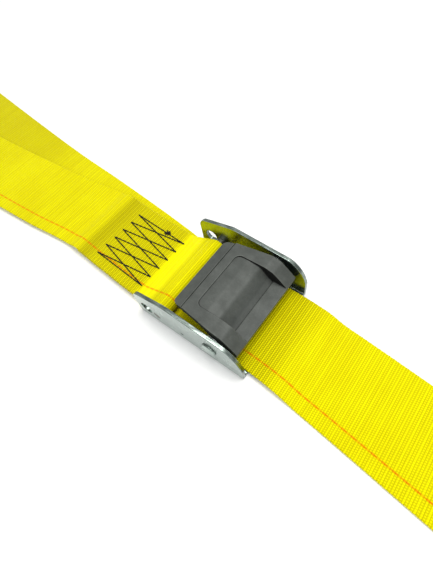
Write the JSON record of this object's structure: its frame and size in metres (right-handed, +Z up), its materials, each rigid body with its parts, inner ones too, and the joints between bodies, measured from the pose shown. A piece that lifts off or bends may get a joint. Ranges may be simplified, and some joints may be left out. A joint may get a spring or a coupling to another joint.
{
  "type": "cam buckle tie-down strap",
  "caption": "Cam buckle tie-down: a sprung toothed lever in a steel channel grips a webbing strap, with a second strap sewn round its anchor bar.",
  "frame": {"origin": "on the underside of the buckle's base plate, straight below the lever's pivot", "axes": "+X along the buckle, from the sewn strap to the front lip; +Y across the buckle; +Z up, out of the base plate towards the lever"},
  "size_m": [0.446, 0.098, 0.0259],
  "materials": {
    "zinc_plated_steel": "bright zinc plate on stamped steel",
    "cast_grey_alloy": "matt grey cast alloy with soft edges",
    "spring_steel": "drawn spring wire",
    "yellow_webbing": "ribbed polyester webbing",
    "black_thread": "bonded polyester thread"
  },
  "bodies": {
    "buckle": {"buckle_frame": "zinc_plated_steel", "anchor_bar": "zinc_plated_steel", "pivot_rivet": "zinc_plated_steel", "return_spring_near": "spring_steel", "return_spring_far": "spring_steel"},
    "lever": {"cam_lever": "cast_grey_alloy"},
    "sewn_strap": {"fixed_strap": "yellow_webbing", "seam_thread": "black_thread"},
    "free_strap": {"running_strap": "yellow_webbing"}
  },
  "joints": [
    {"name": "cam_release", "type": "hinge", "parent": "buckle", "child": "lever", "pos_m": [0, 0, 0.0125], "axis": [0, -1, 0], "range_deg": [0, 26], "stiffness_Nm_per_rad": 0.1, "springref_deg": -28.65, "deforming": ["return_spring_near", "return_spring_far"]},
    {"name": "strap_swing", "type": "hinge", "parent": "buckle", "child": "sewn_strap", "pos_m": [-0.035, 0, 0.0093], "axis": [0, 1, 0], "range_deg": [0, 90]},
    {"name": "strap_feed", "type": "slide", "parent": "buckle", "child": "free_strap", "axis": [1, 0, 0], "range_m": [-0.007, 0.003]}
  ]
}
